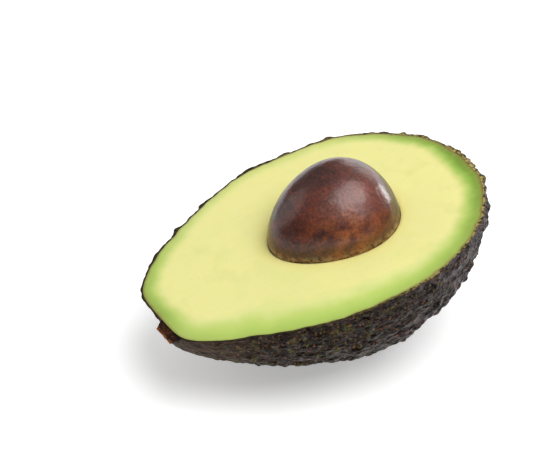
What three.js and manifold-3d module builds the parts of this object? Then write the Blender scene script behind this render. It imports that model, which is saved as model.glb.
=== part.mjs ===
// Half an avocado with its stone, cut lengthwise and lying on its back.
// Millimetres, +Z up. The fruit is shaped in its own frame first: +X runs from the stem end to the
// blossom end, and the knife's cut is the plane Z = 0. It is then pitched as it lies, stem end down.
import * as THREE from "three";
import { ConvexHull } from "three/addons/math/ConvexHull.js";
import { mergeVertices } from "three/addons/utils/BufferGeometryUtils.js";
import Module from "manifold-3d";

const wasm = await Module();
wasm.setup();

// Flesh, as seen on the cut face: a blunt stem end, a rounded shoulder and two long sides
const STEM_END_X = -49.2;
const STEM_END_RUN = 9.4;
const SHOULDER_X = -46;
const SHOULDER_Y = 15;
const SHOULDER_DEG = 50;
const SHOULDER_RUN = 5.1;
const STEM_SIDE_RUN = 21.3;
const WIDEST_X = 2.8;
const HALF_WIDTH = 37;
const BLOSSOM_SIDE_RUN = 25.7;
const BLOSSOM_END_RUN = 24.1;
const BLOSSOM_END_X = 48.6;
// The stem end leans a little to one side
const STEM_LEAN = -1;
// The belly is shallower than half the width, most of all towards the stem
const BELLY_DEPTH = 0.908;
const BELLY_SLOPE = 0.068;
const BELLY_TAPER = 0.138;
const HALF_LENGTH = 50;
// Low swellings, as waves that cross the fruit in chance directions
const SWELLINGS = 9;
const SWELLING_HEIGHT = 0.13;
const SWELLING_SLOWEST = 7;
const SWELLING_FASTEST = 13;

// Skin
const GAP = 0.3;
const SKIN_THICKNESS = 1.1;
const PEBBLES = 950;
const PEBBLE_JITTER = 0.5;
const PEBBLE_LOW = 0.7;
const PEBBLE_HIGH = 1.2;
const PEBBLE_BROW_OUT = 0.5;
const PEBBLE_BROW_UP = 0.8;
const VALLEY_ROUGHNESS = 0.2;
const SEED = 7;

// Stone
const STONE_X = 6.1;
const STONE_Y = 0.4;
const STONE_HALF_LENGTH = 19;
const STONE_HALF_WIDTH = 16.6;
const STONE_HALF_HEIGHT = 16.8;
const STONE_EGG = 0.18;

// Corky scar where the stalk broke off: the knife left only its lower edge on this half
const SCAR_Y = -7.2;
const SCAR_Z = 2.9;
const SCAR_ROOT_X = -48.5;
const SCAR_ROOT_RADIUS = 5.9;
const SCAR_FACE_X = -52.3;
const SCAR_FACE_RADIUS = 5;
const SCAR_DISH = 0.4;
const SCAR_SIDES = 40;
const SCAR_BELOW_CUT = 0.2;
const SCAR_SEAT_FLARE = 1;
const SCAR_SEAT_MOUTH_X = -60;

// How it lies
const PITCH_DEG = 12;
const REST_SPOT_DEPTH = 1.15;

const FRUIT_AROUND = 44;
const FRUIT_ALONG = 32;
const STONE_AROUND = 32;
const STONE_ALONG = 18;
const LARGE = 400;

function seededRandom(seed) {
  let state = seed;
  return () => {
    state = (state * 1664525 + 1013904223) % 4294967296;
    return state / 4294967296;
  };
}

// The flesh's outline on one side of the axis, as three arcs that run into each other
const shoulder = new THREE.Vector2(SHOULDER_X, SHOULDER_Y);
const shoulderRun = new THREE.Vector2(SHOULDER_RUN, 0).rotateAround(
  new THREE.Vector2(),
  THREE.MathUtils.degToRad(SHOULDER_DEG),
);
const outline = new THREE.CurvePath();
outline.add(
  new THREE.CubicBezierCurve(
    new THREE.Vector2(STEM_END_X, 0),
    new THREE.Vector2(STEM_END_X, STEM_END_RUN),
    shoulder.clone().sub(shoulderRun),
    shoulder,
  ),
);
outline.add(
  new THREE.CubicBezierCurve(
    shoulder,
    shoulder.clone().add(shoulderRun),
    new THREE.Vector2(WIDEST_X - STEM_SIDE_RUN, HALF_WIDTH),
    new THREE.Vector2(WIDEST_X, HALF_WIDTH),
  ),
);
outline.add(
  new THREE.CubicBezierCurve(
    new THREE.Vector2(WIDEST_X, HALF_WIDTH),
    new THREE.Vector2(WIDEST_X + BLOSSOM_SIDE_RUN, HALF_WIDTH),
    new THREE.Vector2(BLOSSOM_END_X, BLOSSOM_END_RUN),
    new THREE.Vector2(BLOSSOM_END_X, 0),
  ),
);

const swellings = [];
const swellingRandom = seededRandom(SEED);
for (let i = 0; i < SWELLINGS; i++) {
  const turn = 2 * Math.PI * swellingRandom();
  const climb = Math.asin(2 * swellingRandom() - 1);
  const quickness = THREE.MathUtils.lerp(SWELLING_SLOWEST, SWELLING_FASTEST, swellingRandom());
  swellings.push({
    run: new THREE.Vector3().setFromSphericalCoords(quickness, climb + Math.PI / 2, turn),
    start: 2 * Math.PI * swellingRandom(),
  });
}

function swelling(direction) {
  let height = 0;
  for (const { run, start } of swellings) {
    height += SWELLING_HEIGHT * Math.sin(run.dot(direction) + start);
  }
  return height;
}

// The place on the fruit that a direction from its middle stands for, lifted clear of the flesh
function onFruit(direction, lift) {
  const step = 1e-3;
  const share = Math.acos(THREE.MathUtils.clamp(-direction.x, -1, 1)) / Math.PI;
  const here = outline.getPoint(share);
  const before = outline.getPoint(Math.max(share - step, 0));
  const along = outline.getPoint(Math.min(share + step, 1)).sub(before).normalize();
  const rise = lift + swelling(direction);
  const x = here.x - rise * along.y;
  const radius = Math.max(here.y + rise * along.x, 0);
  const around = Math.hypot(direction.y, direction.z) || 1;
  const station = x / HALF_LENGTH;
  const depth = BELLY_DEPTH + BELLY_SLOPE * station - BELLY_TAPER * station * station;
  const towardsStem = Math.max((WIDEST_X - x) / (WIDEST_X - STEM_END_X), 0);
  return new THREE.Vector3(
    x,
    (radius * direction.y) / around + STEM_LEAN * towardsStem * towardsStem,
    (radius * depth * direction.z) / around,
  );
}

function solidOf(geometry) {
  const bare = geometry.clone();
  bare.deleteAttribute("normal");
  bare.deleteAttribute("uv");
  const merged = mergeVertices(bare);
  return new wasm.Manifold(
    new wasm.Mesh({
      numProp: 3,
      vertProperties: merged.attributes.position.array,
      triVerts: new Uint32Array(merged.index.array),
    }),
  );
}

function geometryOf(solid) {
  const mesh = solid.getMesh();
  const geometry = new THREE.BufferGeometry();
  geometry.setAttribute("position", new THREE.BufferAttribute(mesh.vertProperties, 3));
  geometry.setIndex(new THREE.BufferAttribute(mesh.triVerts, 1));
  const faceted = geometry.toNonIndexed();
  faceted.computeVertexNormals();
  return faceted;
}

// A ball with its poles on the axis, each point of it moved by a rule
function shapedBall(around, along, rule) {
  const ball = new THREE.SphereGeometry(1, around, along).rotateZ(Math.PI / 2);
  const position = ball.attributes.position;
  const point = new THREE.Vector3();
  for (let i = 0; i < position.count; i++) {
    position.setXYZ(i, ...rule(point.fromBufferAttribute(position, i)));
  }
  return ball;
}

const smoothFruit = (lift) =>
  solidOf(shapedBall(FRUIT_AROUND, FRUIT_ALONG, (direction) => onFruit(direction, lift)));

function pebbleCentres(random) {
  const golden = Math.PI * (3 - Math.sqrt(5));
  const spacing = Math.sqrt((4 * Math.PI) / PEBBLES);
  const centres = [];
  for (let i = 0; i < PEBBLES; i++) {
    const x = 1 - (2 * (i + 0.5)) / PEBBLES;
    const ring = Math.sqrt(1 - x * x);
    const nudge = () => (random() - 0.5) * PEBBLE_JITTER * spacing;
    centres.push(
      new THREE.Vector3(
        x + nudge(),
        ring * Math.cos(i * golden) + nudge(),
        ring * Math.sin(i * golden) + nudge(),
      ).normalize(),
    );
  }
  return centres;
}

// The whole fruit's outside: every pebble is a low dome with a top, a brow around it, and corners
// in the valleys that it shares with its neighbours
function pebbledFruit() {
  const random = seededRandom(SEED);
  const hull = new ConvexHull().setFromPoints(pebbleCentres(random));
  const points = [];
  const place = (direction, lift) => points.push(onFruit(direction, lift)) - 1;

  const pebbles = new Map();
  const pebbleAt = (centre) => {
    if (!pebbles.has(centre)) {
      const height = THREE.MathUtils.lerp(PEBBLE_LOW, PEBBLE_HIGH, random());
      pebbles.set(centre, { height, top: place(centre, SKIN_THICKNESS + height), brow: new Map() });
    }
    return pebbles.get(centre);
  };

  const valleys = new Map();
  const valleyAt = (face) => {
    if (!valleys.has(face)) {
      const direction = new THREE.Vector3();
      for (let i = 0; i < 3; i++) direction.add(face.getEdge(i).head().point);
      direction.normalize();
      const floor = place(direction, SKIN_THICKNESS + VALLEY_ROUGHNESS * random());
      valleys.set(face, { direction, floor });
    }
    return valleys.get(face);
  };

  const browAt = (centre, face) => {
    const { height, brow } = pebbleAt(centre);
    if (!brow.has(face)) {
      const direction = centre.clone().lerp(valleyAt(face).direction, PEBBLE_BROW_OUT).normalize();
      brow.set(face, place(direction, SKIN_THICKNESS + PEBBLE_BROW_UP * height));
    }
    return brow.get(face);
  };

  const triangles = [];
  for (const face of hull.faces) {
    for (let i = 0; i < 3; i++) {
      const edge = face.getEdge(i);
      const centre = edge.tail().point;
      const beyond = edge.twin.face;
      const { top } = pebbleAt(centre);
      const here = { brow: browAt(centre, face), floor: valleyAt(face).floor };
      const next = { brow: browAt(centre, beyond), floor: valleyAt(beyond).floor };
      triangles.push(top, next.brow, here.brow);
      triangles.push(next.brow, next.floor, here.floor);
      triangles.push(next.brow, here.floor, here.brow);
    }
  }
  const geometry = new THREE.BufferGeometry().setFromPoints(points);
  geometry.setIndex(triangles);
  return solidOf(geometry);
}

// The stone is an egg, fuller towards the blossom end
function egg(lift) {
  return solidOf(
    shapedBall(STONE_AROUND, STONE_ALONG, ({ x, y, z }) => {
      const fullness = 1 + STONE_EGG * x;
      return [
        STONE_X + (STONE_HALF_LENGTH + lift) * x,
        STONE_Y + (STONE_HALF_WIDTH + lift) * fullness * y,
        (STONE_HALF_HEIGHT + lift) * fullness * z,
      ];
    }),
  );
}

// A round solid about the stem's own axis, from half a profile of places along it and radii
function aboutStem(profile) {
  const points = profile.map(([x, radius]) => new THREE.Vector2(radius, x));
  const turned = new THREE.LatheGeometry(points.reverse(), SCAR_SIDES);
  return solidOf(turned.rotateZ(-Math.PI / 2).translate(0, SCAR_Y, SCAR_Z));
}

// The scar is a short flared plug, dished on its outer face
const scarPlug = () =>
  aboutStem([
    [SCAR_ROOT_X, 0],
    [SCAR_ROOT_X, SCAR_ROOT_RADIUS],
    [SCAR_FACE_X + SCAR_DISH, SCAR_FACE_RADIUS],
    [SCAR_FACE_X, SCAR_FACE_RADIUS - SCAR_DISH],
    [SCAR_FACE_X + SCAR_DISH, 0],
  ]);

// Its seat is open towards the stem end, where the skin draws back from it
const scarSeat = () =>
  aboutStem([
    [SCAR_ROOT_X + GAP, 0],
    [SCAR_ROOT_X + GAP, SCAR_ROOT_RADIUS + GAP],
    [STEM_END_X, SCAR_ROOT_RADIUS + GAP],
    [SCAR_FACE_X, SCAR_ROOT_RADIUS + SCAR_SEAT_FLARE],
    [SCAR_SEAT_MOUTH_X, SCAR_ROOT_RADIUS + SCAR_SEAT_FLARE],
    [SCAR_SEAT_MOUTH_X, 0],
  ]);

function block(width, depth, height, x, y, z) {
  return new THREE.BoxGeometry(width, depth, height).translate(x, y, z);
}

const aboveCut = (level) => solidOf(block(LARGE, LARGE, LARGE, 0, 0, level + LARGE / 2));

const attitude = new THREE.Matrix4().makeRotationY(-THREE.MathUtils.degToRad(PITCH_DEG));

// Everything below the spot that the fruit lies on, in the fruit's own frame
function belowRestSpot(solid) {
  const { vertProperties, numVert } = solid.getMesh();
  const point = new THREE.Vector3();
  let lowest = Infinity;
  for (let i = 0; i < numVert; i++) {
    point.fromArray(vertProperties, i * 3).applyMatrix4(attitude);
    lowest = Math.min(lowest, point.z);
  }
  const level = lowest + REST_SPOT_DEPTH;
  return solidOf(
    block(LARGE, LARGE, LARGE, 0, 0, level - LARGE / 2).applyMatrix4(attitude.clone().invert()),
  );
}

function makeSkin() {
  const half = pebbledFruit().subtract(aboveCut(0)).subtract(smoothFruit(GAP));
  return half.subtract(scarSeat()).subtract(belowRestSpot(half));
}

const makeFlesh = () =>
  smoothFruit(0).subtract(aboveCut(0)).subtract(egg(GAP)).subtract(scarSeat());

const makeStone = () => egg(0);

const makeScar = () => scarPlug().subtract(aboveCut(-SCAR_BELOW_CUT));

const finishes = {
  skin: { color: 0x2c2226, roughness: 0.45, metalness: 0 },
  flesh: { color: 0xe6e590, roughness: 0.55, metalness: 0 },
  stone: { color: 0x5c2a18, roughness: 0.35, metalness: 0 },
  stem_scar: { color: 0x3d2519, roughness: 0.85, metalness: 0 },
};

const makers = { skin: makeSkin, flesh: makeFlesh, stone: makeStone, stem_scar: makeScar };

const fruit = new THREE.Group();
for (const [name, make] of Object.entries(makers)) {
  const mesh = new THREE.Mesh(
    geometryOf(make()),
    new THREE.MeshStandardMaterial(finishes[name]),
  );
  mesh.name = name;
  fruit.add(mesh);
}
fruit.applyMatrix4(attitude);

// The part's origin is the middle of its footprint, on the surface that it lies on
const avocado = new THREE.Group();
avocado.add(fruit);
const extent = new THREE.Box3().setFromObject(fruit, true);
const middle = extent.getCenter(new THREE.Vector3());
fruit.position.sub(new THREE.Vector3(middle.x, middle.y, extent.min.z));

export default avocado;
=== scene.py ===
import math

import bpy
import numpy as np
from mathutils import Matrix, Vector, kdtree, noise


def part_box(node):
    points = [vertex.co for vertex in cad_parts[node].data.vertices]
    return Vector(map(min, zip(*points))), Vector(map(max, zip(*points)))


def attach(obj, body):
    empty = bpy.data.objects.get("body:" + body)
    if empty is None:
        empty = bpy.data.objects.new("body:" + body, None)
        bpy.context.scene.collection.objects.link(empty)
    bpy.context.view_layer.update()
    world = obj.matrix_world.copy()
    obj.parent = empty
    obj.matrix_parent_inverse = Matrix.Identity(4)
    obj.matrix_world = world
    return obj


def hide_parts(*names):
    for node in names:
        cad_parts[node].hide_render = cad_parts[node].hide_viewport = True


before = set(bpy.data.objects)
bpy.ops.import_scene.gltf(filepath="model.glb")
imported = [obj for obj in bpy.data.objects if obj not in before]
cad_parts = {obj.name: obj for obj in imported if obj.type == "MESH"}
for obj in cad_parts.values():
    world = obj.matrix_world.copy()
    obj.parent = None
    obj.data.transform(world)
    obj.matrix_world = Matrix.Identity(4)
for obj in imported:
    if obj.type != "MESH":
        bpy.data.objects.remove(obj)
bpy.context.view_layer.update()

# Half an avocado with its stone. Shapes are worked out in the fruit's own frame, in millimetres:
# +X runs from the stem end to the blossom end, and the knife's cut is the plane Z = 0.
MM = 0.001
SEED = 7

# Outline of the flesh on the cut face
STEM_END_X = -49.2
STEM_END_RUN = 9.4
SHOULDER = (-46, 15)
SHOULDER_DEG = 50
SHOULDER_RUN = 5.1
STEM_SIDE_RUN = 21.3
WIDEST_X = 2.8
HALF_WIDTH = 37
BLOSSOM_SIDE_RUN = 25.7
BLOSSOM_END_RUN = 24.1
BLOSSOM_END_X = 48.6
STEM_LEAN = -1
BELLY_DEPTH = 0.908
BELLY_SLOPE = 0.068
BELLY_TAPER = 0.138
HALF_LENGTH = 50

# The underside of the stem end is tucked in. The tuck starts at the first of two places, and is full at
# the second. A place called stemward is measured along -X.
STEM_TUCK = 1.3
TUCK_DEPTH = 3
TUCK_STEMWARD = (36, 48)
TUCK_Y = (-4, 1)

# Low swellings over the whole fruit, and shorter ones that scallop its rim
SWELLINGS = 9
SWELLING_HEIGHT = 0.13
SWELLING_SLOWEST = 7
SWELLING_FASTEST = 13
RIPPLE_HEIGHT = 0.45
RIPPLE_LENGTH = 6
QUICK_RIPPLE_LENGTH = 2.52
QUICK_RIPPLE_SHARE = 0.6
RIPPLE_STEMWARD = (50, 34)

# Skin
SKIN_LIFT = 0.5
SKIN_INSIDE = 0.2
# The troughs of the relief stop here, so that the skin stays over its own inner side
DEEPEST_TROUGH = 0.15
TROUGH_EASE = 0.3
RIM_JOIN = 0.04
RIM_DARK_EDGE = 0.18
NODULES = 9500
NODULE_RADIUS = (0.5, 1.35)
NODULE_HEIGHT = (0.4, 1.0)
NODULE_STRETCH = 0.66
NODULE_JITTER = 0.42
NODULE_LEAST_HEIGHT = 0.1
DOME_SHOULDER = 2.4
DOME_FLANK = 0.75
DOME_UNION = 4
LUMP_HEIGHT = 0.42
LUMP_LENGTH = 3.2
RIDGE_HEIGHT = 0.45
RIDGE_LENGTH = 26
RIDGE_SPACING = 5
RIDGE_SHARPNESS = 2.2
TROUGH_NODULES = 0.5
RIDGE_NODULES = 0.7
WRINKLE_HEIGHT = 0.2
WRINKLE_LENGTH = 1.6
WRINKLE_STRETCH = 0.25
WRINKLE_RADIUS = 12
# The nodules are low at the stem end, and grow to their full height between these places
CALM_X = (-50, -24)
CALM_STRENGTH = 0.3
CALM_KNOBS = 0.25
# The skin turns from violet, partly painted sheen, to brown between these places
BROWNING_X = (22, -18)
# How tan the cut edge of the skin is, round the cut face
RIM_BEARINGS = (0, 40, 90, 180, 230, 260, 290, 330, 360)
RIM_TANS = (1, 0.5, 0.1, 0, 0, 0.2, 0.8, 1, 1)
# The ball that the skin is made of: its fineness, the two inner rings of its rim as shares of its
# radius, and the rows of its bowl
ICO_LEVEL = 8
RIM_MIDDLE = 0.99
RIM_INNER = 0.98
BOWL_ROWS = 12

# Flesh. It stands a little proud where it meets the stone, with a rounded lip. Swells are given as
# height, length and offset in the noise.
BRIM_HEIGHT = 0.4
BRIM_REACH = 5
LIP_ROUNDING = 0.28
LIP_RADIUS = 0.35
LIP_DROP = 0.3
FACE_DROP = 0.05
SETTLED_FROM_SKIN = 1.2
SETTLED_FROM_STONE = 1
FACE_SWELLS = ((0.16, 9, 1.7), (0.05, 2.6, 4.4))
FAR_OFF = 20
FLESH_SEGMENTS = 320
CAVITY_ROWS = 14
FACE_ROWS = 34
BELLY_ROWS = 16
# How far in from the skin the green reaches, and how green and how dark it is, round the cut face
GREEN_BEARINGS = (0, 30, 60, 120, 150, 180, 195, 210, 240, 270, 300, 330, 360)
GREEN_WIDTHS = (7, 4.6, 4.5, 4, 5.5, 6.5, 10, 12.5, 13, 11, 7.6, 7.4, 7)
GREENS = (1, 0.95, 0.5, 0.5, 0.95, 0.95, 0.9, 0.95, 1, 1, 1, 1, 1)
DEEP_GREENS = (1, 0.6, 0.1, 0.1, 0.25, 0.6, 0.15, 0, 0, 0, 0.35, 0.75, 1)
TAN_EDGES = (1, 0.8, 0.3, 0.3, 0.5, 0.9, 0.3, 0.1, 0.2, 0.6, 0.7, 1, 1)

# Stone
STONE_X = 6.1
STONE_Y = 0.4
STONE_HALF_LENGTH = 19
STONE_HALF_WIDTH = 16.6
STONE_HALF_HEIGHT = 16.8
STONE_EGG = 0.18
STONE_FIT = 0.14
STONE_SWELLS = ((0.24, 13, 2.2), (0.07, 4, 6.1))
STONE_SMOOTH_Z = (0.5, 2.5)
# Keeps the uneven stone within its solid's height
STONE_EASE = 0.08
STONE_SEGMENTS = 192
STONE_RINGS = 120
# Painted light and shade on the stone, each given as direction, strength and spread: a painted warm glow
# low on its front, painted shade over its top, and a pinkish painted highlight where the broad highlight
# falls
STONE_PATCHES = {
    "glow": ((-0.05, -0.93, 0.36), 1, 0.5),
    "shade": ((-0.1, 0.25, 0.96), 0.75, 0.36),
    "painted_highlight": ((0.25, -0.58, 0.77), 0.7, 0.42),
}
# Pale papery coat left where the stone meets the flesh, and partly a painted reflection of the flesh on the
# stone's low edge: from none to most of it
PAPER_AND_REFLECTION_STRENGTH = 0.8
PAPER_AND_REFLECTION_Z = (2.6, 0.4)
# The veins' pattern, in millimetres round the crown and away from it
STONE_CROWN = (0.12, -0.4, 0.9)
STREAK_FAN = 8
STREAK_RUN = 5

# Stem scar
SCAR_Y = -7.2
SCAR_Z = 2.9
SCAR_ROOT_X = -49
SCAR_ROOT_SIZE = (6.3, 5.7)
SCAR_FACE_X = -52.2
SCAR_FACE_Y = -8.4
SCAR_FACE_SIZE = (6.4, 3.8)
SCAR_FACE_LEAN = 0.3
SCAR_DISH = 0.4
SCAR_SEAT_RADIUS = 6.1
SCAR_SEAT_LIFT = 0.1
SCAR_SEAT_EDGE = 0.6
SCAR_SEAT_MIDDLE = 0.7
SCAR_SEAT_INNER = 0.3
SCAR_FLARE = 1.6
SCAR_ROUGHNESS = ((0.3, 1.6, 8.8), (0.12, 0.7, 2.9))
SCAR_ROUGH_ASIDE = 0.6
SCAR_CUT_Z = -0.06
SCAR_CUT_INSET = 0.5
# The painted highlight covers the outer face and fades out between these distances in from the face
SCAR_PAINTED_LIT_FACE = (0.9, 0.4)
SCAR_SEGMENTS = 96
SCAR_RINGS = 60
SCAR_FACE_SHARE = 0.4
SCAR_FLANK_SHARE = 0.8

# How it lies, and the photograph's frame
PITCH = math.radians(12)
PHOTO_WIDTH = 533
PHOTO_HEIGHT = 454
CAMERA_AZIMUTH = math.radians(-30.9)
CAMERA_ELEVATION = math.radians(33.4)
CAMERA_DISTANCE = 0.6685
CAMERA_FOCAL_PIXELS = 2444.5
CUT_CENTRE_PIXEL = (313.8, 233.8)
SENSOR = 36

# The room's brightness at its walls and overhead, and the floor's own
ROOM_WALLS = 0.12
ROOM_CEILING = 0.38
FLOOR_GLOW = 0.38
FLOOR_SIZE = 6


def seeded_random(seed):
    state = seed
    while True:
        state = (state * 1664525 + 1013904223) % 4294967296
        yield state / 4294967296


def smoothstep(low, high, value):
    share = np.clip((value - low) / (high - low), 0, 1)
    return share * share * (3 - 2 * share)


def bezier(a, b, c, d, steps=200):
    t = np.linspace(0, 1, steps)[:, None]
    a, b, c, d = (np.array(p, float) for p in (a, b, c, d))
    return (1 - t) ** 3 * a + 3 * (1 - t) ** 2 * t * b + 3 * (1 - t) * t * t * c + t**3 * d


def flesh_outline():
    """The outline on one side of the axis, as three arcs that run into each other."""
    slope = math.radians(SHOULDER_DEG)
    run = SHOULDER_RUN * np.array((math.cos(slope), math.sin(slope)))
    shoulder = np.array(SHOULDER, float)
    stem = bezier((STEM_END_X, 0), (STEM_END_X, STEM_END_RUN), shoulder - run, shoulder)
    side = bezier(shoulder, shoulder + run, (WIDEST_X - STEM_SIDE_RUN, HALF_WIDTH), (WIDEST_X, HALF_WIDTH))
    blossom = bezier(
        (WIDEST_X, HALF_WIDTH),
        (WIDEST_X + BLOSSOM_SIDE_RUN, HALF_WIDTH),
        (BLOSSOM_END_X, BLOSSOM_END_RUN),
        (BLOSSOM_END_X, 0),
    )
    return np.vstack((stem, side[1:], blossom[1:]))


OUTLINE = flesh_outline()
STEPS = np.hypot(*np.diff(OUTLINE, axis=0).T)
SHARES = np.concatenate(((0,), np.cumsum(STEPS))) / STEPS.sum()
TANGENTS = np.gradient(OUTLINE, SHARES, axis=0)
TANGENTS /= np.hypot(*TANGENTS.T)[:, None]


def swelling_waves():
    draw = seeded_random(SEED)
    waves = []
    for _ in range(SWELLINGS):
        turn = 2 * math.pi * next(draw)
        fall = math.asin(2 * next(draw) - 1) + math.pi / 2
        quickness = SWELLING_SLOWEST + (SWELLING_FASTEST - SWELLING_SLOWEST) * next(draw)
        run = quickness * np.array(
            (math.sin(fall) * math.sin(turn), math.cos(fall), math.sin(fall) * math.cos(turn))
        )
        waves.append((run, 2 * math.pi * next(draw)))
    return waves


WAVES = swelling_waves()


def on_fruit(directions, lift):
    """The places on the fruit that directions from its middle stand for, lifted clear of the flesh."""
    share = np.arccos(np.clip(-directions[:, 0], -1, 1)) / math.pi
    here = np.column_stack([np.interp(share, SHARES, OUTLINE[:, i]) for i in (0, 1)])
    along = np.column_stack([np.interp(share, SHARES, TANGENTS[:, i]) for i in (0, 1)])
    rise = lift + sum(SWELLING_HEIGHT * np.sin(directions @ run + start) for run, start in WAVES)
    x = here[:, 0] - rise * along[:, 1]
    radius = np.maximum(here[:, 1] + rise * along[:, 0], 0)
    around = np.hypot(directions[:, 1], directions[:, 2])
    around[around == 0] = 1
    station = x / HALF_LENGTH
    depth = BELLY_DEPTH + BELLY_SLOPE * station - BELLY_TAPER * station**2
    stemward = np.maximum((WIDEST_X - x) / (WIDEST_X - STEM_END_X), 0)
    y = radius * directions[:, 1] / around + STEM_LEAN * stemward**2
    z = radius * depth * directions[:, 2] / around
    tucked = smoothstep(0, TUCK_DEPTH, -z) * smoothstep(*TUCK_STEMWARD, -x) * smoothstep(*TUCK_Y, y)
    return np.column_stack((x + STEM_TUCK * tucked, y, z))


def on_stone(directions, lift):
    x, y, z = directions.T
    fullness = 1 + STONE_EGG * x
    return np.column_stack((
        STONE_X + (STONE_HALF_LENGTH + lift) * x,
        STONE_Y + (STONE_HALF_WIDTH + lift) * fullness * y,
        (STONE_HALF_HEIGHT + lift) * fullness * z,
    ))


def noise_field(points, length, offset):
    """Smooth noise between -1 and 1 at points in millimetres, with swells of about that length."""
    shift = Vector((offset, offset * 0.7, -offset))
    return np.array([noise.noise(Vector(p) / length + shift) for p in points])


def rippled(points):
    slow = noise_field(points, RIPPLE_LENGTH, offset=3.1)
    quick = noise_field(points, QUICK_RIPPLE_LENGTH, offset=7.3)
    return RIPPLE_HEIGHT * (slow + QUICK_RIPPLE_SHARE * quick) * smoothstep(*RIPPLE_STEMWARD, -points[:, 0])


def swells(points, layers):
    """Noise of several lengths added up. A layer is its height, its length and its offset in the noise."""
    return sum(height * noise_field(points, length, offset) for height, length, offset in layers)


# The fruit's own frame, pitched as it lies. The stone's node shows where the frame puts it.
LYING = Matrix.Rotation(-PITCH, 4, "Y")
LYING_TURN = np.array(LYING.to_3x3())


def ball_directions(count=4000):
    spiral = math.pi * (3 - math.sqrt(5)) * np.arange(count)
    x = 1 - 2 * (np.arange(count) + 0.5) / count
    ring = np.sqrt(1 - x * x)
    return np.column_stack((x, ring * np.cos(spiral), ring * np.sin(spiral)))


def fruit_origin():
    stone = on_stone(ball_directions(), 0) * MM
    turned = stone @ LYING_TURN.T
    middle = (turned.max(axis=0) + turned.min(axis=0)) / 2
    low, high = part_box("stone")
    return (low + high) / 2 - Vector(middle)


FRUIT_ORIGIN = fruit_origin()
FRUIT_TO_ROW = Matrix.Translation(FRUIT_ORIGIN) @ LYING @ Matrix.Scale(MM, 4)


def start_piece(name):
    """Names the primitive that was just added."""
    piece = bpy.context.object
    piece.name = name
    piece.data.name = name
    return piece


def deselect():
    if bpy.context.object:
        bpy.ops.object.mode_set(mode="OBJECT")
    bpy.ops.object.select_all(action="DESELECT")


def vertex_places(piece):
    places = np.empty(len(piece.data.vertices) * 3, np.float32)
    piece.data.vertices.foreach_get("co", places)
    return places.reshape(-1, 3).astype(float)


def move_vertices(piece, places):
    piece.data.vertices.foreach_set("co", places.astype(np.float32).ravel())
    piece.data.update()


def write_attribute(piece, name, values):
    values = np.asarray(values, np.float32)
    if values.ndim == 2:
        attribute = piece.data.attributes.new(name, "FLOAT_VECTOR", "POINT")
        attribute.data.foreach_set("vector", values.ravel())
    else:
        attribute = piece.data.attributes.new(name, "FLOAT", "POINT")
        attribute.data.foreach_set("value", values)


def finish_piece(piece, node, finish):
    """Puts a shaped piece in its place in the row frame, and hands it to the frame."""
    deselect()
    piece.select_set(True)
    bpy.context.view_layer.objects.active = piece
    piece.data.transform(FRUIT_TO_ROW)
    bpy.ops.object.mode_set(mode="EDIT")
    bpy.ops.mesh.select_all(action="SELECT")
    bpy.ops.mesh.remove_doubles(threshold=0.002 * MM)
    bpy.ops.mesh.normals_make_consistent(inside=False)
    bpy.ops.object.mode_set(mode="OBJECT")
    bpy.ops.object.shade_smooth_by_angle(angle=math.radians(50))
    piece.data.materials.append(finish)
    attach(piece, "root")
    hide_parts(node)
    return piece


class Finish:
    """A node material. Each method adds one node and gives back its output."""

    def __init__(self, name):
        self.material = bpy.data.materials.new(name)
        self.material.use_nodes = True
        self.nodes = self.material.node_tree.nodes
        self.links = self.material.node_tree.links
        self.shader = self.nodes["Principled BSDF"]
        self.object_coordinates = self.nodes.new("ShaderNodeTexCoord").outputs["Object"]

    def socket(self, node, name, value):
        if isinstance(value, bpy.types.NodeSocket):
            self.links.new(value, node.inputs[name])
        else:
            node.inputs[name].default_value = value

    def set(self, **values):
        for name, value in values.items():
            self.socket(self.shader, name.replace("_", " "), value)

    def attribute(self, name, output="Fac"):
        node = self.nodes.new("ShaderNodeAttribute")
        node.attribute_name = name
        return node.outputs[output]

    def stretched(self, scale):
        node = self.nodes.new("ShaderNodeMapping")
        node.inputs["Scale"].default_value = scale
        self.links.new(self.object_coordinates, node.inputs["Vector"])
        return node.outputs["Vector"]

    def noise(self, length, detail=2, roughness=0.5, distortion=0.0, vector=None):
        node = self.nodes.new("ShaderNodeTexNoise")
        self.links.new(vector or self.object_coordinates, node.inputs["Vector"])
        node.inputs["Scale"].default_value = 1 / (length * MM)
        node.inputs["Detail"].default_value = detail
        node.inputs["Roughness"].default_value = roughness
        node.inputs["Distortion"].default_value = distortion
        return node.outputs["Fac"]

    def cells(self, length, vector=None):
        node = self.nodes.new("ShaderNodeTexVoronoi")
        self.links.new(vector or self.object_coordinates, node.inputs["Vector"])
        node.inputs["Scale"].default_value = 1 / (length * MM)
        return node.outputs["Distance"]

    def ramp(self, value, stops):
        node = self.nodes.new("ShaderNodeValToRGB")
        self.links.new(value, node.inputs["Fac"])
        elements = node.color_ramp.elements
        while len(elements) < len(stops):
            elements.new(0.5)
        for element, (position, colour) in zip(elements, stops):
            element.position = position
            element.color = (*colour, 1)
        return node.outputs["Color"]

    def span(self, value, low, high, to_low=0.0, to_high=1.0):
        node = self.nodes.new("ShaderNodeMapRange")
        self.links.new(value, node.inputs["Value"])
        node.inputs["From Min"].default_value = low
        node.inputs["From Max"].default_value = high
        node.inputs["To Min"].default_value = to_low
        node.inputs["To Max"].default_value = to_high
        return node.outputs["Result"]

    def mix(self, share, first, second):
        node = self.nodes.new("ShaderNodeMix")
        node.data_type = "RGBA"
        self.socket(node, 0, share)
        self.socket(node, 6, first)
        self.socket(node, 7, second)
        return node.outputs[2]

    def math(self, operation, first, second):
        node = self.nodes.new("ShaderNodeMath")
        node.operation = operation
        self.socket(node, 0, first)
        self.socket(node, 1, second)
        return node.outputs["Value"]

    def bump(self, height, distance, strength, normal=None):
        node = self.nodes.new("ShaderNodeBump")
        self.links.new(height, node.inputs["Height"])
        node.inputs["Distance"].default_value = distance * MM
        node.inputs["Strength"].default_value = strength
        if normal:
            self.links.new(normal, node.inputs["Normal"])
        return node.outputs["Normal"]


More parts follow.
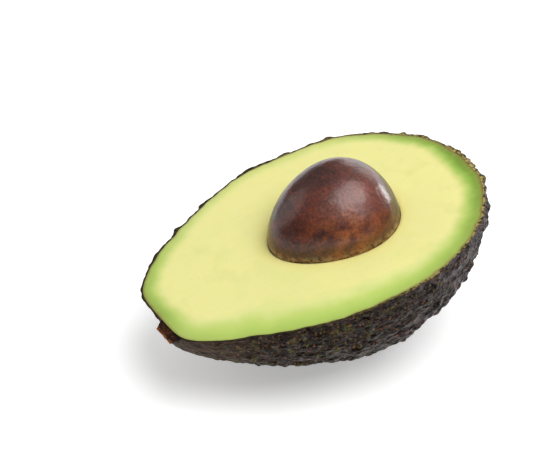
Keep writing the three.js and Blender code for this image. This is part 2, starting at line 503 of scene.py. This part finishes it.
def srgb(red, green, blue):
    """A colour as a painter reads it, 0 to 255, made linear."""
    return tuple(
        (c / 255 / 12.92) if c <= 10 else ((c / 255 + 0.055) / 1.055) ** 2.4 for c in (red, green, blue)
    )


def colour(red, green, blue):
    return (*srgb(red, green, blue), 1)


def skin_finish():
    """Grey-violet skin, partly painted sheen, browner at the stem, with near-black nodules, warm specks and
    an olive cut rim.
    """
    f = Finish("avocado_skin")
    stemward = f.attribute("stemward")
    dome = f.span(f.cells(1.7, vector=f.stretched((0.68, 1, 1))), 0.08, 0.62, 1.0, 0.0)
    dome = f.math("MULTIPLY", dome, f.attribute("knobbly"))
    nodule = f.math("MAXIMUM", f.math("MULTIPLY", f.attribute("nodule"), 0.8), dome)
    patches = f.noise(2.4, detail=4, roughness=0.65)
    brown = f.ramp(patches, [(0.35, srgb(34, 23, 16)), (0.65, srgb(68, 49, 35))])
    # The violet ground is partly the skin's grey-violet bloom and partly painted sheen: its lighter patches
    # stand in for glints
    violet_bloom_and_sheen = f.ramp(patches, [(0.35, srgb(42, 34, 35)), (0.65, srgb(108, 97, 103))])
    ground = f.mix(stemward, violet_bloom_and_sheen, brown)
    cap = f.ramp(f.noise(2.4, detail=3), [(0.35, srgb(12, 8, 7)), (0.65, srgb(32, 21, 17))])
    body = f.mix(f.span(nodule, 0.3, 0.75), ground, cap)
    olive = f.span(f.noise(2.8, detail=2), 0.56, 0.68)
    olive = f.math("MULTIPLY", olive, f.span(stemward, 0, 1, 0.1, 0.6))
    body = f.mix(olive, body, colour(80, 76, 34))
    fleck = f.span(f.noise(0.8, detail=2), 0.58, 0.68, 0.0, 0.75)
    fleck = f.math("MULTIPLY", fleck, f.span(nodule, 0.2, 0.5, 0.3, 1.0))
    warm = f.ramp(
        f.noise(3, detail=1),
        [
            (0.4, srgb(132, 86, 68)),
            (0.52, srgb(136, 94, 50)),
            (0.62, srgb(108, 102, 46)),
        ],
    )
    body = f.mix(fleck, body, warm)
    rim = f.attribute("rim")
    tan = f.ramp(rim, [(0.0, srgb(56, 40, 28)), (0.45, srgb(140, 118, 66)), (1.0, srgb(188, 172, 102))])
    dark = f.ramp(rim, [(0.0, srgb(26, 17, 13)), (0.7, srgb(44, 34, 20)), (1.0, srgb(66, 62, 32))])
    pits = f.span(f.noise(1.0, detail=2), 0.48, 0.58, 1.0, 0.1)
    cut = f.mix(f.math("MULTIPLY", f.attribute("tan_rim"), pits), dark, tan)
    body = f.mix(f.span(rim, 0.02, 0.2), body, cut)
    f.set(Base_Color=body)
    f.set(Roughness=f.span(nodule, 0.3, 0.75, 0.6, 0.24))
    fine = f.noise(0.5, detail=3, roughness=0.6)
    grain = f.noise(0.9, detail=2, vector=f.stretched((0.4, 1, 1)))
    creased = f.bump(grain, 0.2, 0.7, f.bump(fine, 0.08, 0.6))
    f.set(Normal=f.bump(dome, 1.0, 1.0, creased))
    f.shader.inputs["Specular IOR Level"].default_value = 0.14
    return f.material


def flesh_finish():
    """Creamy pale yellow flesh that turns green towards the skin, with a thin tan edge."""
    f = Finish("avocado_flesh")
    wander = f.span(f.noise(7, detail=3), 0.3, 0.7, 0.86, 1.14)
    depth = f.math("MULTIPLY", f.attribute("depth"), wander)
    light = f.ramp(
        depth,
        [
            (0.0, srgb(168, 190, 92)),
            (0.15, srgb(176, 201, 98)),
            (0.27, srgb(184, 209, 105)),
            (0.4, srgb(194, 214, 113)),
            (0.55, srgb(210, 222, 132)),
            (0.75, srgb(225, 229, 148)),
            (1.0, srgb(236, 232, 155)),
        ],
    )
    deep = f.ramp(
        depth,
        [
            (0.0, srgb(126, 138, 62)),
            (0.26, srgb(120, 152, 52)),
            (0.42, srgb(142, 179, 72)),
            (0.64, srgb(190, 206, 108)),
            (0.86, srgb(228, 225, 146)),
            (1.0, srgb(236, 231, 154)),
        ],
    )
    cream = f.ramp(f.noise(18, detail=3), [(0.35, srgb(234, 230, 152)), (0.65, srgb(239, 231, 156))])
    cream = f.mix(f.attribute("stemward"), cream, colour(229, 228, 157))
    body = f.mix(f.attribute("green"), cream, f.mix(f.attribute("deep"), light, deep))
    # Warmer yellow next to the stone, partly painted light: it is kept light to lift the stone's shadow on
    # the flesh
    body = f.mix(f.span(f.attribute("from_stone"), 0, 4, 0.7, 0), body, colour(238, 224, 138))
    fibres = f.noise(1.3, detail=2, vector=f.stretched((0.12, 1, 1)))
    body = f.mix(f.span(fibres, 0.55, 0.8, 0, 0.16), body, colour(222, 214, 130))
    freckle = f.span(f.cells(3.4), 0.02, 0.12, 0.2, 0.0)
    body = f.mix(freckle, body, colour(204, 186, 104))
    frayed = f.math("ADD", f.attribute("from_skin"), f.span(f.noise(1.4, detail=3), 0.3, 0.7, -0.2, 0.2))
    edge = f.math("MULTIPLY", f.span(frayed, 0.15, 0.75, 0.85, 0.0), f.attribute("edge"))
    body = f.mix(edge, body, colour(138, 116, 62))
    f.set(Base_Color=body)
    f.set(Roughness=f.span(f.noise(6, detail=3), 0.3, 0.7, 0.42, 0.58))
    pulp = f.noise(0.8, detail=4, roughness=0.6)
    f.set(Normal=f.bump(pulp, 0.05, 0.5))
    f.shader.inputs["Subsurface Weight"].default_value = 0.3
    f.shader.inputs["Subsurface Radius"].default_value = (1.0, 0.8, 0.25)
    f.shader.inputs["Subsurface Scale"].default_value = 1.6 * MM
    f.shader.inputs["Specular IOR Level"].default_value = 0.2
    return f.material


def stone_finish():
    """Reddish-brown seed coat, mottled, with faint veins that fan out from its crown, and a wet gloss,
    under a painted glow, painted shade and a painted highlight.
    """
    f = Finish("avocado_stone")
    streak = f.attribute("streak", "Vector")
    patch = f.noise(8, detail=5, roughness=0.6, distortion=0.8)
    coat = f.ramp(
        patch,
        [
            (0.34, srgb(38, 12, 9)),
            (0.48, srgb(64, 24, 15)),
            (0.6, srgb(94, 38, 21)),
            (0.72, srgb(68, 26, 17)),
        ],
    )
    # Painted light: a warm glow low on the front, painted shade darkening the top, and a pinkish painted
    # highlight
    glow = f.math("MULTIPLY", f.attribute("glow"), f.span(f.noise(4, detail=4), 0.35, 0.65))
    coat = f.mix(glow, coat, colour(166, 92, 40))
    coat = f.mix(f.attribute("shade"), coat, colour(44, 18, 16))
    coat = f.mix(f.attribute("painted_highlight"), coat, colour(142, 84, 74))
    veins = f.noise(1.1, detail=5, roughness=0.7, distortion=1.2, vector=streak)
    coat = f.mix(f.span(veins, 0.52, 0.7, 0.0, 0.55), coat, colour(44, 16, 11))
    coat = f.mix(f.span(veins, 0.46, 0.34, 0.0, 0.25), coat, colour(144, 70, 38))
    grain = f.noise(0.7, detail=3, roughness=0.75)
    coat = f.mix(f.span(grain, 0.5, 0.62, 0.0, 0.55), coat, colour(42, 15, 10))
    coat = f.mix(f.span(grain, 0.46, 0.36, 0.0, 0.35), coat, colour(140, 64, 30))
    # Pale papery coat low on the stone, partly a painted reflection of the flesh
    paper_and_painted_reflection = f.math("MULTIPLY", f.attribute("paper_and_painted_reflection"), f.span(f.noise(1.6, detail=4), 0.42, 0.6))
    coat = f.mix(paper_and_painted_reflection, coat, colour(166, 132, 84))
    f.set(Base_Color=coat)
    f.set(Roughness=f.span(patch, 0.35, 0.65, 0.36, 0.27))
    creased = f.bump(veins, 0.1, 0.5, f.bump(grain, 0.04, 0.5))
    f.set(Normal=f.bump(f.noise(4.5, detail=3), 0.6, 0.7, creased))
    f.shader.inputs["Specular IOR Level"].default_value = 0.5
    f.shader.inputs["Coat Weight"].default_value = 0.2
    f.shader.inputs["Coat Roughness"].default_value = 0.18
    return f.material


def scar_finish():
    """Dry dark cork, taken to near black by painted shade, with a warm brown painted highlight over its
    outer face.
    """
    f = Finish("avocado_stem_scar")
    crumbs = f.noise(1.1, detail=5, roughness=0.7)
    # Painted light: the cork is darkened to near black as painted shade, and its outer face is a warm brown
    # painted highlight
    cork_and_painted_shade = f.ramp(crumbs, [(0.35, srgb(12, 7, 6)), (0.55, srgb(34, 19, 13)), (0.7, srgb(78, 42, 26))])
    painted_lit_face = f.ramp(crumbs, [(0.35, srgb(66, 34, 18)), (0.65, srgb(152, 86, 40))])
    f.set(Base_Color=f.mix(f.attribute("painted_lit_face"), cork_and_painted_shade, painted_lit_face))
    f.set(Roughness=0.8)
    f.set(Normal=f.bump(f.noise(0.6, detail=5, roughness=0.7), 0.25, 0.8))
    f.shader.inputs["Specular IOR Level"].default_value = 0.1
    return f.material


def nodule_field(places, directions):
    """The skin's relief at places on it, in millimetres, and how far up a nodule each place is, 0 to 1."""
    draw = np.random.default_rng(SEED)
    spacing = math.sqrt(4 * math.pi / NODULES)
    seats = ball_directions(NODULES) + draw.uniform(-NODULE_JITTER, NODULE_JITTER, (NODULES, 3)) * spacing
    seats /= np.linalg.norm(seats, axis=1)[:, None]
    radii = draw.uniform(*NODULE_RADIUS, NODULES)
    heights = draw.uniform(*NODULE_HEIGHT, NODULES) * radii / NODULE_RADIUS[1] + NODULE_LEAST_HEIGHT
    squeeze = np.array((NODULE_STRETCH, 1, 1))
    tree = kdtree.KDTree(NODULES)
    for i, seat in enumerate(on_fruit(seats, SKIN_LIFT) * squeeze):
        tree.insert(Vector(seat), i)
    tree.balance()

    union = np.zeros(len(places))
    cap = np.zeros(len(places))
    for i, place in enumerate(places * squeeze):
        for _, seat, distance in tree.find_n(place, 3):
            reach = distance / radii[seat]
            if reach < 1:
                dome = (1 - reach**DOME_SHOULDER) ** DOME_FLANK
                union[i] += (dome * heights[seat]) ** DOME_UNION
                cap[i] = max(cap[i], dome)
    ridge = ridges(places)
    grown = smoothstep(*CALM_X, places[:, 0])
    strength = CALM_STRENGTH + (1 - CALM_STRENGTH) * grown
    relief = union ** (1 / DOME_UNION) * (TROUGH_NODULES + RIDGE_NODULES * ridge)
    relief += RIDGE_HEIGHT * (ridge - 0.5)
    relief += LUMP_HEIGHT * noise_field(places * squeeze, LUMP_LENGTH, offset=6.6)
    return relief * strength + wrinkles(places, directions) * (1 - grown), cap * strength


def ridges(places):
    """Lengthwise ridges that wander over the skin, 0 in the troughs and 1 on the crests."""
    squeeze = np.array((RIDGE_SPACING / RIDGE_LENGTH * 2, 1, 1))
    swell = noise_field(places * squeeze, RIDGE_SPACING, offset=9.2)
    return 1 - np.clip(np.abs(swell) * RIDGE_SHARPNESS, 0, 1)


def wrinkles(places, directions):
    turn = np.arctan2(directions[:, 2], directions[:, 1])
    around = WRINKLE_RADIUS * np.column_stack((np.cos(turn), np.sin(turn)))
    wrapped = np.column_stack((places[:, 0] * WRINKLE_STRETCH, around))
    return WRINKLE_HEIGHT * noise_field(wrapped, WRINKLE_LENGTH, offset=5.5)


def held_below(values, limit, ease=0.8):
    """Values that come near a limit are eased off, so that they never pass it."""
    over = np.maximum(values - (limit - ease), 0)
    return values - over + ease * (1 - np.exp(-over / ease))


def make_skin():
    """A fine ball is halved, its edge is turned inwards as the rim and the inner bowl, and the whole is
    then pushed out to the fruit's shape with its nodules."""
    deselect()
    bpy.ops.mesh.primitive_ico_sphere_add(subdivisions=ICO_LEVEL, radius=1)
    skin = start_piece("avocado_skin")
    bpy.ops.object.mode_set(mode="EDIT")
    bpy.ops.mesh.select_all(action="SELECT")
    bpy.ops.mesh.bisect(plane_co=(0, 0, 0), plane_no=(0, 0, 1), clear_outer=True)
    bpy.ops.mesh.select_all(action="DESELECT")
    bpy.ops.mesh.select_mode(type="EDGE")
    bpy.ops.mesh.select_non_manifold(extend=False)
    for radius in (RIM_MIDDLE, RIM_INNER / RIM_MIDDLE):
        bpy.ops.mesh.extrude_edges_move()
        bpy.ops.transform.resize(value=(radius, radius, 1), center_override=(0, 0, 0))
    for row in range(1, BOWL_ROWS):
        above = math.pi / 2 * (row - 1) / BOWL_ROWS
        below = math.pi / 2 * row / BOWL_ROWS
        shrink = math.cos(below) / math.cos(above)
        bpy.ops.mesh.extrude_edges_move()
        bpy.ops.transform.resize(value=(shrink, shrink, 1), center_override=(0, 0, 0))
        bpy.ops.transform.translate(value=(0, 0, -RIM_INNER * (math.sin(below) - math.sin(above))))
    bpy.ops.mesh.extrude_edges_move()
    bpy.ops.mesh.merge(type="CENTER")
    bpy.ops.object.mode_set(mode="OBJECT")

    ball = vertex_places(skin)
    size = np.linalg.norm(ball, axis=1)
    directions = ball / size[:, None]
    outer = size > (1 + RIM_MIDDLE) / 2
    middle = ~outer & (size > (RIM_MIDDLE + RIM_INNER) / 2)
    inner = ~outer & ~middle
    at_cut = np.abs(ball[:, 2]) < 1e-5

    smooth = on_fruit(directions, SKIN_LIFT)
    shown = outer | middle
    relief = np.zeros(len(ball))
    cap = np.zeros(len(ball))
    relief[shown], cap[shown] = nodule_field(smooth[shown], directions[shown])
    relief = -held_below(-relief, DEEPEST_TROUGH, TROUGH_EASE)
    lift = np.where(shown, SKIN_LIFT + relief, SKIN_INSIDE)
    lift[inner & at_cut] = RIM_JOIN
    lift[middle] -= RIM_DARK_EDGE
    from_scar = np.hypot(smooth[:, 1] - SCAR_Y, smooth[:, 2] - SCAR_Z)
    at_stem = smooth[:, 0] < STEM_END_X / 2
    seated = at_stem * (1 - smoothstep(SCAR_SEAT_RADIUS, SCAR_SEAT_RADIUS + SCAR_SEAT_EDGE, from_scar))
    in_seat = SCAR_SEAT_LIFT * np.where(outer, 1, np.where(middle, SCAR_SEAT_MIDDLE, SCAR_SEAT_INNER))
    lift += (in_seat - lift) * seated
    lift += rippled(smooth) * (1 - seated)
    places = on_fruit(directions, lift)

    write_attribute(skin, "nodule", cap * (1 - seated))
    knobbly = CALM_KNOBS + (1 - CALM_KNOBS) * smoothstep(*CALM_X, smooth[:, 0])
    write_attribute(skin, "knobbly", knobbly * (1 - seated))
    write_attribute(skin, "rim", np.where(outer, 0, np.where(middle, 0.5, 1)))
    write_attribute(skin, "stemward", smoothstep(*BROWNING_X, places[:, 0]))
    bearing = np.degrees(np.arctan2(directions[:, 1], directions[:, 0])) % 360
    write_attribute(skin, "tan_rim", np.interp(bearing, RIM_BEARINGS, RIM_TANS))

    row = places @ LYING_TURN.T
    floor = -FRUIT_ORIGIN.z / MM
    sunk = np.maximum(floor - row[:, 2], 0)
    row[:, 2] += sunk
    low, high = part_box("skin")
    near_side = (low.y - FRUIT_ORIGIN.y) / MM
    far_side = (high.y - FRUIT_ORIGIN.y) / MM
    row[:, 1] = held_below(row[:, 1], far_side)
    row[:, 1] = -held_below(-row[:, 1], -near_side)
    move_vertices(skin, row @ LYING_TURN)
    return finish_piece(skin, "skin", skin_finish())


def make_flesh():
    """A ball of rings: from the cavity's floor up to its lip, out over the cut face, and down the belly."""
    rows = CAVITY_ROWS + FACE_ROWS + BELLY_ROWS
    deselect()
    bpy.ops.mesh.primitive_uv_sphere_add(segments=FLESH_SEGMENTS, ring_count=rows, radius=1)
    flesh = start_piece("avocado_flesh")
    ball = vertex_places(flesh)
    row = np.rint(np.arccos(np.clip(ball[:, 2], -1, 1)) / math.pi * rows).astype(int)
    turn = np.arctan2(ball[:, 1], ball[:, 0])
    flat = np.column_stack((np.cos(turn), np.sin(turn), np.zeros(len(turn))))

    def lowered(share):
        angle = share * math.pi / 2
        return np.column_stack((flat[:, 0] * np.cos(angle), flat[:, 1] * np.cos(angle), -np.sin(angle)))

    ripple = rippled(on_fruit(flat, SKIN_LIFT))
    in_cavity = row <= CAVITY_ROWS
    in_belly = row >= CAVITY_ROWS + FACE_ROWS
    cavity = on_stone(lowered(1 - np.clip(row / CAVITY_ROWS, 0, 1)), STONE_FIT)
    belly_share = np.clip((row - CAVITY_ROWS - FACE_ROWS) / BELLY_ROWS, 0, 1)
    belly = on_fruit(lowered(belly_share), ripple * (1 - belly_share))

    lip = on_stone(flat, STONE_FIT)
    edge = on_fruit(flat, ripple)
    share = np.clip((row - CAVITY_ROWS) / FACE_ROWS, 0, 1)
    eased = (1 - np.cos(math.pi * share)) / 2
    face = lip + (edge - lip) * eased[:, None]
    outline = on_fruit(flat[row == rows // 2], ripple[row == rows // 2])
    tree = kdtree.KDTree(len(outline))
    for i, place in enumerate(outline):
        tree.insert(Vector(place), i)
    tree.balance()
    from_skin = np.array([tree.find(Vector(p))[2] for p in face])
    from_stone = np.linalg.norm(face - lip, axis=1)
    swell = swells(face, FACE_SWELLS)
    rounding = LIP_ROUNDING * np.exp(-from_stone / LIP_RADIUS)
    settled = smoothstep(0, SETTLED_FROM_SKIN, from_skin) * smoothstep(0, SETTLED_FROM_STONE, from_stone)
    brim = BRIM_HEIGHT * np.exp(-from_stone / BRIM_REACH)
    face[:, 2] += swell * settled + brim - rounding * (share > 0)
    face[:, 2] -= FACE_DROP * (share < 1)

    places = np.where(in_cavity[:, None], cavity, np.where(in_belly[:, None], belly, face))
    lip_row = row == CAVITY_ROWS
    places[lip_row, 2] += BRIM_HEIGHT - LIP_DROP
    move_vertices(flesh, places)

    bearing = np.degrees(turn) % 360
    from_skin = np.where(in_cavity, FAR_OFF, np.where(in_belly, 0, from_skin))
    from_stone = np.where(in_cavity, 0, np.where(in_belly, FAR_OFF, from_stone))
    depth = from_skin / np.interp(bearing, GREEN_BEARINGS, GREEN_WIDTHS)
    write_attribute(flesh, "depth", np.clip(depth, 0, 1))
    write_attribute(flesh, "green", np.interp(bearing, GREEN_BEARINGS, GREENS))
    write_attribute(flesh, "deep", np.interp(bearing, GREEN_BEARINGS, DEEP_GREENS))
    write_attribute(flesh, "edge", np.interp(bearing, GREEN_BEARINGS, TAN_EDGES))
    write_attribute(flesh, "from_skin", from_skin)
    write_attribute(flesh, "from_stone", from_stone)
    write_attribute(flesh, "stemward", smoothstep(0, -35, places[:, 0]))
    return finish_piece(flesh, "flesh", flesh_finish())


def make_stone():
    """A ball made an egg, a little uneven above the flesh."""
    deselect()
    bpy.ops.mesh.primitive_uv_sphere_add(segments=STONE_SEGMENTS, ring_count=STONE_RINGS, radius=1)
    stone = start_piece("avocado_stone")
    directions = vertex_places(stone)
    directions /= np.linalg.norm(directions, axis=1)[:, None]
    smooth = on_stone(directions, 0)
    uneven = swells(smooth, STONE_SWELLS) - STONE_EASE
    uneven *= smoothstep(*STONE_SMOOTH_Z, smooth[:, 2])
    move_vertices(stone, on_stone(directions, uneven))

    crown = Vector(STONE_CROWN).normalized()
    east = crown.orthogonal().normalized()
    north = crown.cross(east)
    turn = np.arctan2(directions @ np.array(north), directions @ np.array(east))
    fall = np.arccos(np.clip(directions @ np.array(crown), -1, 1))
    fan = np.column_stack((STREAK_FAN * np.cos(turn), STREAK_FAN * np.sin(turn), STREAK_RUN * fall)) * MM
    write_attribute(stone, "streak", fan)
    for name, (middle, strength, spread) in STONE_PATCHES.items():
        off = np.arccos(np.clip(directions @ np.array(Vector(middle).normalized()), -1, 1))
        write_attribute(stone, name, strength * np.exp(-((off / spread) ** 2)))
    write_attribute(stone, "paper_and_painted_reflection", PAPER_AND_REFLECTION_STRENGTH * smoothstep(*PAPER_AND_REFLECTION_Z, smooth[:, 2]))
    return finish_piece(stone, "stone", stone_finish())


def make_scar():
    """A short flared plug about the stem's own axis, cut flush by the knife, with a torn, rough face."""
    deselect()
    bpy.ops.mesh.primitive_uv_sphere_add(segments=SCAR_SEGMENTS, ring_count=SCAR_RINGS, radius=1)
    scar = start_piece("avocado_stem_scar")
    ball = vertex_places(scar)
    turn = np.arctan2(ball[:, 1], ball[:, 0])
    share = np.arccos(np.clip(ball[:, 2], -1, 1)) / math.pi
    on_face = np.clip(share / SCAR_FACE_SHARE, 0, 1)
    on_flank = np.clip((share - SCAR_FACE_SHARE) / (SCAR_FLANK_SHARE - SCAR_FACE_SHARE), 0, 1)
    on_root = np.clip((share - SCAR_FLANK_SHARE) / (1 - SCAR_FLANK_SHARE), 0, 1)
    wide, tall = (
        (face * on_face + (root - face) * on_flank**SCAR_FLARE) * (1 - on_root)
        for face, root in zip(SCAR_FACE_SIZE, SCAR_ROOT_SIZE)
    )
    x = SCAR_FACE_X + (SCAR_ROOT_X - SCAR_FACE_X) * on_flank + SCAR_DISH * (1 - on_face**2)
    y = SCAR_FACE_Y + (SCAR_Y - SCAR_FACE_Y) * on_flank + wide * np.cos(turn)
    z = SCAR_Z + tall * np.sin(turn)
    x += SCAR_FACE_LEAN * np.maximum(-z, 0) * (1 - on_flank)
    places = np.column_stack((x, y, z))
    rough = swells(places, SCAR_ROUGHNESS) * (1 - on_flank)
    places[:, 0] += rough
    places[:, 1] += SCAR_ROUGH_ASIDE * rough * np.cos(turn)
    places[:, 2] += SCAR_ROUGH_ASIDE * rough * np.sin(turn)
    move_vertices(scar, places)
    bpy.ops.object.mode_set(mode="EDIT")
    bpy.ops.mesh.select_all(action="SELECT")
    bpy.ops.mesh.bisect(plane_co=(0, 0, SCAR_CUT_Z), plane_no=(0, 0, 1), clear_outer=True, use_fill=True)
    bpy.ops.mesh.inset(thickness=SCAR_CUT_INSET)
    bpy.ops.object.mode_set(mode="OBJECT")
    kept = vertex_places(scar)
    write_attribute(scar, "painted_lit_face", smoothstep(*SCAR_PAINTED_LIT_FACE, kept[:, 0] - SCAR_FACE_X))
    return finish_piece(scar, "stem_scar", scar_finish())


def make_camera():
    data = bpy.data.cameras.new("photo_camera")
    camera = bpy.data.objects.new("photo_camera", data)
    bpy.context.scene.collection.objects.link(camera)
    data.sensor_width = SENSOR
    data.lens = CAMERA_FOCAL_PIXELS / PHOTO_WIDTH * SENSOR
    away = Vector((
        math.sin(CAMERA_AZIMUTH) * math.cos(CAMERA_ELEVATION),
        -math.cos(CAMERA_AZIMUTH) * math.cos(CAMERA_ELEVATION),
        math.sin(CAMERA_ELEVATION),
    ))
    right = Vector((math.cos(CAMERA_AZIMUTH), math.sin(CAMERA_AZIMUTH), 0))
    up = away.cross(right)
    across = (CUT_CENTRE_PIXEL[0] - PHOTO_WIDTH / 2) * CAMERA_DISTANCE / CAMERA_FOCAL_PIXELS
    down = (CUT_CENTRE_PIXEL[1] - PHOTO_HEIGHT / 2) * CAMERA_DISTANCE / CAMERA_FOCAL_PIXELS
    aim = FRUIT_ORIGIN - right * across + up * down
    camera.location = FRUIT_ORIGIN + away * CAMERA_DISTANCE
    camera.rotation_euler = (aim - camera.location).to_track_quat("-Z", "Y").to_euler()
    bpy.context.scene.camera = camera


def soft_light(name, azimuth, elevation, distance, size, power):
    """An area light that looks at the fruit from a compass direction. Azimuth 0 is along +X."""
    data = bpy.data.lights.new(name, "AREA")
    data.shape = "DISK"
    data.size = size
    data.energy = power
    light = bpy.data.objects.new(name, data)
    bpy.context.scene.collection.objects.link(light)
    a, e = math.radians(azimuth), math.radians(elevation)
    way = Vector((math.cos(a) * math.cos(e), math.sin(a) * math.cos(e), math.sin(e)))
    light.location = FRUIT_ORIGIN + way * distance
    light.rotation_euler = (-way).to_track_quat("-Z", "Y").to_euler()


def pale_room():
    """A room that is bright overhead and dim towards its walls."""
    world = bpy.data.worlds.new("pale_room")
    bpy.context.scene.world = world
    world.use_nodes = True
    nodes, links = world.node_tree.nodes, world.node_tree.links
    height = nodes.new("ShaderNodeSeparateXYZ")
    links.new(nodes.new("ShaderNodeTexCoord").outputs["Generated"], height.inputs[0])
    glow = nodes.new("ShaderNodeValToRGB")
    levels = ((0.15, ROOM_WALLS), (0.75, ROOM_CEILING))
    for element, (position, level) in zip(glow.color_ramp.elements, levels):
        element.position = position
        element.color = (level, level, level, 1)
    links.new(height.outputs["Z"], glow.inputs["Fac"])
    links.new(glow.outputs["Color"], nodes["Background"].inputs["Color"])


def make_stage():
    deselect()
    bpy.ops.mesh.primitive_plane_add(size=FLOOR_SIZE, location=(0, 0, 0))
    floor = start_piece("floor")
    f = Finish("pale_floor")
    f.set(Base_Color=(0.9, 0.9, 0.9, 1), Roughness=0.9)
    f.shader.inputs["Specular IOR Level"].default_value = 0.1
    f.shader.inputs["Emission Color"].default_value = (1, 1, 1, 1)
    f.shader.inputs["Emission Strength"].default_value = FLOOR_GLOW
    floor.data.materials.append(f.material)
    pale_room()
    soft_light("softbox", azimuth=-68, elevation=66, distance=0.8, size=0.78, power=5.95)
    soft_light("left_fill", azimuth=130, elevation=22, distance=1.0, size=0.8, power=1.4)
    soft_light("backdrop", azimuth=38, elevation=14, distance=1.0, size=0.75, power=2.2)
    soft_light("far_window", azimuth=7, elevation=8, distance=0.9, size=0.28, power=2.2)
    bpy.context.scene.view_settings.view_transform = "Standard"


make_camera()
make_skin()
make_flesh()
make_stone()
make_scar()
make_stage()
